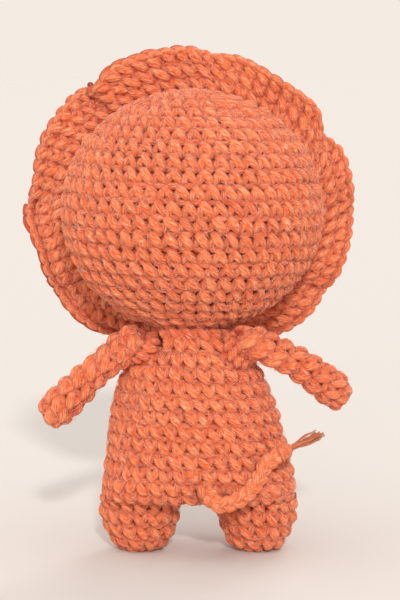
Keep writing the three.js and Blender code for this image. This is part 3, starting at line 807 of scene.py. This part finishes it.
arm_covers = {}
for side, (sewn_at, heading, drop, bow) in ARM_ROOTS.items():
    pivot, outward, hang = arm_place(sewn_at, heading, drop)
    lifted = unit(np.array([0, 0, 1.0]) - hang * hang[2]) * bow * MM
    arm_skin, arm_run = turned_skin(ARM_PROFILE, pivot + hang * ARM_LENGTH, -hang, bow=lifted)
    arm_cells = rounds(arm_skin, 1.0 * MM, arm_run, ARM_ROUND, least=5, width=ARM_STITCH)
    arm_covers[side] = (arm_skin, arm_cells)
    arm = Skein()
    crochet(arm, arm_skin, arm_cells, scale=1.05)
    shade_painted_floor(arm, arm_skin, 0.5 * MM, arm_run - 10 * MM, 20, 20)
    root = (arm_run - 11 * MM, arm_run - 0.2 * MM)
    # a lift of -1.2 gives this floor a lighter painted shade
    shade_painted_floor(arm, arm_skin, *root, 8, 20, -1.1 * MM, -1.7 * MM, lift=-1.2)
    body = side + "_arm"
    arm.piece(body + "_rounds", CORAL, body + "_cover", body)

    sewn = Skein()
    seam_skin, seam_run = turned_skin(SEAM_PROFILE, pivot, outward)
    crochet(sewn, seam_skin, rounds(seam_skin, 0, seam_run, seam_run, width=3.5 * MM))
    # a lift of -1.2 gives this floor a lighter painted shade
    shade_painted_floor(sewn, seam_skin, 0.2 * MM, seam_run, 5, 20, -1.7 * MM, -2.3 * MM, lift=-1.2)
    shoulder = side + "_shoulder"
    sewn.piece(shoulder + "_stitches", SEWN, shoulder + "_seam", shoulder)

# %% [markdown]
# ## Neck seam
# The head is sewn to the body's top round, and the seam pulls that round up against the ball. It
# reads as one more round of the body that tucks in under the head. Inside it a short sleeve of
# packed yarn closes the neck. Its profile gives radius and rise in millimetres.

# %% Neck round
SEAM_HEIGHT = 4.6 * MM
SEAM_START = NECK_LEVEL - 0.4 * MM


def round_axis(radius, angle, level):
    """Points round the doll's own upright axis."""
    return AXIS + np.stack([radius * np.cos(angle), radius * np.sin(angle), level + 0 * angle], -1)


def neck_skin(angle, run):
    return round_axis((13.6 - 0.085 * (run / MM) ** 2) * MM, angle, SEAM_START + run)


seam = Skein()
crochet(seam, neck_skin, rounds(neck_skin, 0.1 * MM, SEAM_HEIGHT, SEAM_HEIGHT), scale=0.95)
SLEEVE = [(10.9, -3.0), (11.0, 0.5), (10.8, 4.2), (10.2, 4.2), (10.0, 0.5), (9.6, -3.0)]
sleeve = [round_axis(radius * MM, circle(32), NECK_LEVEL + rise * MM) for radius, rise in SLEEVE]
# a lift of -2 colours the sleeve in painted shade
seam.ring_sheet(np.array(sleeve), -2.0)
neck_stitches = seam.piece("neck_stitches", SEWN, "neck_seam")
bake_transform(neck_stitches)

# %% [markdown]
# ## The mane
# The mane is a flat strip, worked onto a foundation of stitches round the face with far more
# stitches in its outer rounds than in its first, so it can't lie flat and stands in ruffles. Its
# skin is the middle of the strip: it leans forward as it leaves the head and waves from side to
# side, more and more towards the edge. RUFFLE follows the edge once round: the angle in degrees
# from the left ear, and how far the strip stands towards the back there, in millimetres. Where the
# angle steps back, one flap laps over the next. DRAWN_IN shortens the strip at its folds: the angle
# and half width of a fold in degrees, and how far it draws the edge in, in millimetres.

# %% Ruffle
EDGE_RADIUS = 47.0
RUFFLE = [
    (1, -2.4), (12, 0.8), (28, 2.0), (41, 1.2), (49, -1.4), (54, -3.0), (53, -0.8), (51, 1.4),
    (55, 3.2), (67, 3.4), (82, 2.0), (91, -0.6), (98, -3.0), (107, -0.4), (119, 2.2), (132, 3.0),
    (141, 2.6), (146, 1.2), (149, -0.6), (152, -2.0), (157, -1.0), (165, 1.2), (172, 1.6),
    (180, -1.8), (188, 0.6), (197, 2.0), (206, 1.8), (214, -2.0), (222, 0.8), (232, 1.8),
    (240, 0.4), (248, 1.2), (258, 1.0), (270, -1.0), (282, 1.0), (292, 1.2), (300, 0.4),
    (309, 1.8), (318, 1.6), (326, -2.4), (335, 0.8), (345, 2.0), (354, 1.0),
]
DRAWN_IN = [
    (10, 7, 0.9), (53, 5, 2.2), (98, 6, 1.6), (122, 15, 2.0),
    (149, 6, 4.2), (214, 5, 1.0), (342, 6, 1.0), (358, 6, -2.0),
]

lap = len(RUFFLE)
thrice_round = [(turn * 360 + a, b) for turn in (-1, 0, 1) for a, b in RUFFLE]
ruffle_line = smooth_line(np.array(thrice_round) * [np.radians(1) * EDGE_RADIUS, 1.0], 10)
ruffle_run = run_along(ruffle_line)
ruffle_start, ruffle_end = ruffle_run[lap * 10], ruffle_run[2 * lap * 10]
print("ruffle:", round(float(ruffle_end - ruffle_start)), "mm")

# %% [markdown]
# `mane_root` gives the line on the ball where the strip starts, and the way that a flat strip would
# leave it. The ruffle's edge then pulls the strip round and back, less and less towards the root.

# %% Mane skin
MANE_WIDTH = 0.014
MANE_HALF = 1.5 * MM
MANE_REACH = 0.93  # the ruffled strip reaches a little less far than a flat one
MANE_LIFT = 0.4 * MM  # how far off the ball its root lies
LEAN_SHARE = 0.85


def mane_root(angle):
    low = ((1 - np.sin(angle)) / 2) ** 18
    cheek = np.cos(angle) ** 2
    front = -(0.011 + 0.009 * low)
    shrink = np.sqrt(1 - (front / HEAD_SIZE[1]) ** 2)
    radial = np.stack([np.cos(angle), 0 * angle, np.sin(angle)], -1)
    root = HEAD_CENTRE + radial * HEAD_SIZE * shrink[..., None]
    root[..., 1] = HEAD_CENTRE[1] + front
    lean = np.radians(6 + 27 * cheek + 56 * low)[..., None]
    ahead = np.array([0.0, -1.0, 0.0])
    along = radial * np.cos(lean) + ahead * np.sin(lean)
    face = ahead * np.cos(lean) - radial * np.sin(lean)
    return root, along, face, np.tan(lean[..., 0])


def mane_middle(angle, run):
    share = np.clip(run / MANE_WIDTH, 0, 1.2)
    at = ruffle_start + (angle % (2 * np.pi)) / (2 * np.pi) * (ruffle_end - ruffle_start)
    edge_angle = np.interp(at, ruffle_run, ruffle_line[:, 0]) / EDGE_RADIUS
    stand = np.interp(at, ruffle_run, ruffle_line[:, 1])
    gap = (edge_angle - angle % (2 * np.pi) + np.pi) % (2 * np.pi) - np.pi
    root, along, face, slope = mane_root(angle + gap * share**1.1)
    back = stand * MM * share**1.2
    turned = np.degrees(edge_angle)
    folds = 0
    for middle, half, depth in DRAWN_IN:
        away = (turned - middle + 180) % 360 - 180
        folds = folds + depth * np.exp(-((away / half) ** 2))
    reach = run * MANE_REACH + MANE_LIFT - LEAN_SHARE * slope * back - folds * share**2 * MM
    return root + along * reach[..., None] - face * back[..., None]


def mane_normal(angle, run):
    """Smoothed over a stitch or so, which keeps the two faces from folding over at a crease."""
    nearby = (-0.05, -0.025, 0, 0.025, 0.05)
    return unit(sum(normal_of(mane_middle, angle + side, run) for side in nearby))


def mane_back(angle, run):
    return mane_middle(angle, run) + mane_normal(angle, run) * MANE_HALF


def mane_front(angle, run):
    return mane_middle(-angle, run) - mane_normal(-angle, run) * MANE_HALF


# %% [markdown]
# Both faces of the strip are crocheted, back to back, with a thin floor between them. Its edge is a
# chain of slip stitches in two rows, whose humps make it lumpy.

# %% Mane
MANE_ROUND, MANE_STITCH = 4.5 * MM, 4.3 * MM
EDGE_STITCH, EDGE_GIRTH = 4.0 * MM, 1.35 * MM
EDGE_HALF = 0.62  # of a stitch, so that each slip stitch passes its neighbour

mane_cells = {}
for name, skin in (("mane_back_rounds", mane_back), ("mane_front_rounds", mane_front)):
    face = Skein()
    cells = rounds(skin, -0.3 * MM, MANE_WIDTH - 0.6 * MM, MANE_ROUND, width=MANE_STITCH)
    mane_cells[name] = cells
    crochet(face, skin, cells, scale=0.95)
    face.piece(name, CORAL, "mane", "head")

edge = Skein()
sheet = (0.0, MANE_WIDTH - 2.6 * MM)
# a lift of -1.6 colours this floor almost all in painted shade
shade_painted_floor(edge, mane_middle, *sheet, 8, 360, 0.3 * MM, -0.3 * MM, lift=-1.6)
edge_run = (MANE_WIDTH - 1 * MM, MANE_WIDTH + 1 * MM)
edge_cells = rounds(mane_middle, *edge_run, 2 * MM, width=EDGE_STITCH)
for sign in (1, -1):
    t = np.linspace(-EDGE_HALF, EDGE_HALF, 10)[None]
    angle = edge_cells["angle"][:, None] + t * edge_cells["width"][:, None]
    hump = np.cos(t / EDGE_HALF * np.pi / 2)
    run = MANE_WIDTH + (-1.7 + 1.6 * hump**0.7) * MM + 0 * angle
    height = sign * (0.55 + 0.35 * np.sin(t * 2)) * MM + 0 * angle
    line = mane_middle(angle, run) + mane_normal(angle, run) * height[..., None]
    outward = mane_root(angle)[1]
    edge.wind(line, outward, EDGE_GIRTH * (0.4 + 0.6 * hump**0.6), lift=(hump - 0.6), sides=9)
edge.piece("mane_edge_chain", CORAL, "mane", "head")

# %% [markdown]
# A row of slanting stitches behind the strip holds it to the ball.

# %% Mane seam
MANE_STITCHES = 58
sewn = Skein()
spoke = 2 * np.pi * np.arange(MANE_STITCHES)[:, None] / MANE_STITCHES
t = np.linspace(0, 1, 8)[None]
angle = spoke + (t - 0.5) * 0.09
root = mane_root(angle)[0]
back = (-3.4 + 2.6 * t)[..., None] * MM
place = root + np.array([0, 1.0, 0]) * (-back)
offset = (place - HEAD_CENTRE) / HEAD_SIZE
on_ball = HEAD_CENTRE + HEAD_SIZE * unit(offset)
outward = unit(offset / HEAD_SIZE)
line = on_ball + outward * ((0.1 + 1.0 * np.sin(np.pi * t)) * MM)[..., None]
sewn.wind(line, outward, 0.8 * MM * (0.6 + 0.4 * np.sin(np.pi * t)), lift=-0.6, sides=8)
sewn.piece("mane_stitches", SEWN, "mane_seam", "head")

# %% [markdown]
# ## Loose fibres
# Cotton is spun from short fibres, and handling works some of them loose, so the loops wear a pale
# fuzz. Hair particles would not survive an export, so each fibre is a real strand, thin as a hair:
# it leaves one loop, arches over the surface and sinks again into the next.

# %% Fuzz
FIBRE_GIRTH = 0.045 * MM


def fuzz(skein, skin, cells, each, peak=0.3):
    count = len(cells["angle"]) * each
    pick = chance.integers(0, len(cells["angle"]), count)
    across, along = chance.uniform(-0.5, 0.5, (2, count, 1))
    heading = chance.normal(-0.9, 0.9, (count, 1))
    length = chance.uniform(1.8, 4.2, (count, 1)) * MM
    curl = chance.normal(0, 0.35, (count, 1)) * MM
    t = np.linspace(-0.5, 0.5, 6)[None]
    bow = curl * (1 - 4 * t**2)
    right = length * t * np.cos(heading) - bow * np.sin(heading)
    up = length * t * np.sin(heading) + bow * np.cos(heading)
    width = cells["width"][pick][:, None]
    angle = cells["angle"][pick][:, None] + (across + right / STITCH_WIDTH) * width
    run = cells["run"][pick][:, None] + along * cells["height"] + up
    top = chance.normal(peak, 0.14, (count, 1))
    height = (top - (top + 1.3) * np.abs(2 * t) ** 2.6) * MM
    line = off_skin(skin, angle, run, height)
    skein.wind(line, normal_of(skin, angle, run), FIBRE_GIRTH, flat=1.0, lift=0.5, sides=3)


def fuzzy(name, body, *covers):
    skein = Skein()
    for cover in covers:
        fuzz(skein, *cover)
    skein.piece(name, (fibre.material, "yarn"), body=body)


EACH = 5  # fibres for each stitch
fuzzy("head_fibres", "head", (head_skin, head_cells, EACH))
back_fuzz = (mane_back, mane_cells["mane_back_rounds"], EACH, 0.2)
front_fuzz = (mane_front, mane_cells["mane_front_rounds"], EACH - 1, 0.2)
fuzzy("mane_fibres", "head", back_fuzz, front_fuzz)
low_body = (body_skin, chosen(body_cells, body_cells["run"] < last_round), EACH)
fuzzy("body_fibres", "body", low_body, *[(*cover, EACH) for cover in leg_covers])
for side, cover in arm_covers.items():
    fuzzy(side + "_arm_fibres", side + "_arm", (*cover, EACH))

# %% [markdown]
# ## The face
# The face has two glossy domes for eyes, a small oval nose in satin stitch and a curved mouth of
# one yarn. Each sits on the ball, so one helper gives the point on its front at a width and a
# height from its middle, and how far off the ball it stands.

# %% Points on the face
def face_at(x, z, out):
    """x, z and out are in millimetres, from the middle of the ball's front."""
    x, z = np.broadcast_arrays(np.asarray(x, float), np.asarray(z, float))
    w, d, h = HEAD_SIZE / MM
    place = np.stack([x, -d * np.sqrt(1 - (x / w) ** 2 - (z / h) ** 2), z], -1) * MM
    normal = unit(place / HEAD_SIZE**2)
    return HEAD_CENTRE + place + normal * np.asarray(out)[..., None] * MM, normal


# %% [markdown]
# ## Eyes
# A safety eye is moulded black plastic, polished, with a fine flat rim. Its profile, from the dome
# to the stem, is turned round the line that leaves the ball there. Dust and handling leave the
# gloss a little uneven.

# %% Eyes
eye_plastic = Finish("black eye plastic", Coat_Weight=0.2, Coat_Roughness=0.04)
smear = eye_plastic.noise(eye_plastic.place(), 500.0, 3.0)
eye_black = eye_plastic.blend(smear, (0.004, 0.003, 0.003, 1), (0.012, 0.010, 0.009, 1))
eye_plastic.drive(Base_Color=eye_black, Specular_IOR_Level=0.3)
eye_plastic.drive(Roughness=smear * 0.16 + 0.06)

EYE_RADIUS, EYE_SPREAD, EYE_RISE = 3.5, 13.0, 2.0
RIM_AND_STEM = [(3.62, 0.9), (3.62, 0.66), (3.4, 0.58), (1.2, 0.58), (1.2, -1.5), (0.0, -1.5)]
AROUND = 40

dome = np.radians(np.linspace(90, 0, 12))
profile = [(EYE_RADIUS * np.cos(a), 1.0 + 0.7 * EYE_RADIUS * np.sin(a)) for a in dome]
profile += RIM_AND_STEM


def turned_faces(levels, around):
    """Faces of a turned shape that has a point at each end and rings of points between them."""
    faces, last = [], 1 + levels * around
    for k in range(around):
        n = (k + 1) % around
        faces.append((0, 1 + k, 1 + n))
        for low in range(1, 1 + (levels - 1) * around, around):
            faces.append((low + k, low + around + k, low + around + n, low + n))
        faces.append((last, last - around + n, last - around + k))
    return faces


for side, sign in (("left", 1), ("right", -1)):
    middle, normal = face_at(sign * EYE_SPREAD, EYE_RISE, 0.0)
    one = unit(np.cross(normal, [0, 0, 1.0]))
    two = np.cross(one, normal)
    turn = circle(AROUND)
    ring = np.cos(turn)[:, None] * one + np.sin(turn)[:, None] * two
    points = [middle + normal * profile[0][1] * MM]
    points += [middle + ring * r * MM + normal * h * MM for r, h in profile[1:-1]]
    points = np.vstack([*points, middle + normal * profile[-1][1] * MM])
    mesh = bpy.data.meshes.new(side + "_eye_dome")
    mesh.from_pydata(points, [], turned_faces(len(profile) - 2, AROUND))
    mesh.polygons.foreach_set("use_smooth", [True] * len(mesh.polygons))
    mesh.materials.append(eye_plastic.material)
    eye = placed(side + "_eye_dome", mesh)
    shell = bmesh.new()
    shell.from_mesh(mesh)
    bmesh.ops.recalc_face_normals(shell, faces=shell.faces)
    shell.to_mesh(mesh)
    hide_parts(side + "_eye")
    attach(eye, "head")
    print("eye at", [round(c * 1000, 1) for c in middle])

# %% [markdown]
# ## Nose and mouth
# Satin stitch lays one strand beside the next, so the nose is a fan of upright strands over a low
# pad, longest in the middle. The mouth is one strand laid in a double curve and caught down.

# %% Nose
NOSE_WIDTH, NOSE_HEIGHT, NOSE_DROP = 4.6, 3.0, 6.0
SATIN = 13
nose = Skein()
across = np.linspace(-1, 1, SATIN)[:, None]
t = np.linspace(-1, 1, 11)[None]
x = across * 0.90 * NOSE_WIDTH + chance.normal(0, 0.08, (SATIN, 1)) * t
z = -NOSE_DROP + t * NOSE_HEIGHT * 0.95 * np.sqrt(1 - 0.80 * across**2)
crown = 0.35 + 0.55 * np.sqrt(1 - 0.9 * across**2) * np.sqrt(1 - 0.85 * t**2)
place, normal = face_at(x, z, crown)
nose.wind(place, normal, 0.46 * MM * (0.75 + 0.25 * np.sqrt(1 - t**2)), lift=0.4, sides=8)
for level in (-0.55, 0.0, 0.55):
    t = np.linspace(-1, 1, 12)
    width = 0.78 * NOSE_WIDTH * np.sqrt(1 - level**2)
    z = -NOSE_DROP + level * NOSE_HEIGHT + 0 * t
    place, normal = face_at(t * width, z, 0.15 + 0.2 * (1 - t**2))
    nose.wind(place[None], normal[None], 0.8 * MM, lift=-0.6, sides=8)
nose.piece("nose_satin_stitches", BROWN, "nose_stitches", "head")

# %% Mouth
MOUTH_HALF_WIDTH, MOUTH_YARN = 6.5, 0.55
across = np.array([-1, -0.5, 0, 0.5, 1])
dip = -(NOSE_DROP + NOSE_HEIGHT + MOUTH_YARN + 1.6) - np.array([1, 3, 0, 3, 1.0])
line = smooth_line(np.stack([across * MOUTH_HALF_WIDTH, dip], -1), 10)
place, normal = face_at(line[:, 0], line[:, 1], np.full(len(line), 0.95))
mouth = Skein()
for strand in (0, 1):
    turn = 2 * np.pi * (np.arange(len(place)) / 14 + strand / 2)
    along = unit(np.gradient(place, axis=0))
    twist = np.cos(turn)[:, None] * np.cross(normal, along) + np.sin(turn)[:, None] * normal
    mouth.wind((place + 0.24 * MM * twist)[None], normal[None], 0.34 * MM, lift=0.4, sides=8)
for end, back in ((0, 1), (-1, -2)):
    root = place[end] - normal[end] * 1.6 * MM
    tuck = evenly(np.stack([root, (root + place[end]) / 2, place[end]]), 5)
    ahead = unit(place[end] - place[back])
    mouth.wind(tuck[None], ahead[None, None], 0.45 * MM, lift=0.0, sides=8)
mouth.piece("mouth_backstitches", BROWN, "mouth_stitches", "head")

# %% [markdown]
# ## Inside the doll
# The filling and the eyes' washers hardly ever show, but they are there, so they get their own
# finishes on the CAD's shapes: loose polyester fibre is white and tangled, and the washers are of
# plain milky plastic.

# %% Filling and washers
filling = Finish("fibre filling", Roughness=1.0, Sheen_Weight=0.4)
curl = filling.noise(filling.place(), 320.0, 6.0, 0.75)
# the grey where the curl noise sinks is painted shade in the tangles' hollows
filling.drive(Base_Color=filling.blend(curl, (0.55, 0.53, 0.50, 1), (0.86, 0.85, 0.82, 1)))
filling.drive(Normal=filling.bump(curl, 0.8, 0.0008))
milky = Finish("milky washer plastic", Specular_IOR_Level=0.5)
cloud = milky.noise(milky.place(), 260.0, 3.0)
milky.drive(Base_Color=milky.blend(cloud, (0.72, 0.72, 0.68, 1), (0.84, 0.84, 0.81, 1)))
milky.drive(Roughness=cloud * 0.2 + 0.4)
for node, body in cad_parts.items():
    finish = filling if node.endswith("_stuffing") else milky if node.endswith("_washer") else None
    if finish:
        body.data.materials.clear()
        body.data.materials.append(finish.material)

# %% [markdown]
# ## Floor and light
# The doll stands on a plain pale sweep in a bright room. The main lamp stands behind the camera, so
# its shadow falls away from it. A low wide one fills the hollows, a weak one is overhead, and one
# lights the face. The room adds one even colour, but the camera sees the backdrop's.

# %% Floor
BACKDROP = (0.905, 0.830, 0.762)
SPAN = 30.0

floor_mesh = bpy.data.meshes.new("floor")
corners = [(x * SPAN, y * SPAN, 0) for x, y in ((-1, -1), (1, -1), (1, 1), (-1, 1))]
floor_mesh.from_pydata(corners, [], [(0, 1, 2, 3)])
floor = placed("floor", floor_mesh)
paper = Finish("pale paper", Roughness=0.95, Specular_IOR_Level=0.0)
paper.drive(Base_Color=(0.676, 0.632, 0.592, 1))
floor_mesh.materials.append(paper.material)

# %% Room
world = bpy.data.worlds.new("room")
world.use_nodes = True
tree = world.node_tree
sky = tree.nodes["Background"]
sky.inputs["Color"].default_value = (1.0, 0.96, 0.92, 1)
sky.inputs["Strength"].default_value = 0.75
seen = tree.nodes.new("ShaderNodeBackground")
seen.inputs["Color"].default_value = (*BACKDROP, 1)
rays = tree.nodes.new("ShaderNodeLightPath")
either = tree.nodes.new("ShaderNodeMixShader")
for k, source in enumerate((rays.outputs["Is Camera Ray"], sky.outputs[0], seen.outputs[0])):
    tree.links.new(source, either.inputs[k])
tree.links.new(either.outputs[0], tree.nodes["World Output"].inputs[0])
bpy.context.scene.world = world
print("room nodes:", len(tree.nodes))


# %% Lamps
def lamp(name, towards, strength, spread):
    light = bpy.data.lights.new(name, "SUN")
    light.energy, light.angle = strength, np.radians(spread)
    aimed = Vector(towards).to_track_quat("Z", "Y").to_euler()
    placed(name, light).rotation_euler = aimed


lamp("key lamp", (-0.08, 0.9, 0.42), 1.84, 4)
lamp("fill lamp", (0.1, 1.0, 0.05), 1.12, 40)
lamp("top lamp", (0.25, 0.25, 1.0), 0.5, 80)
lamp("face lamp", (-0.3, -0.9, 0.5), 1.1, 30)
bpy.context.scene.view_settings.view_transform = "Standard"
print("lamps:", len(bpy.data.lights))
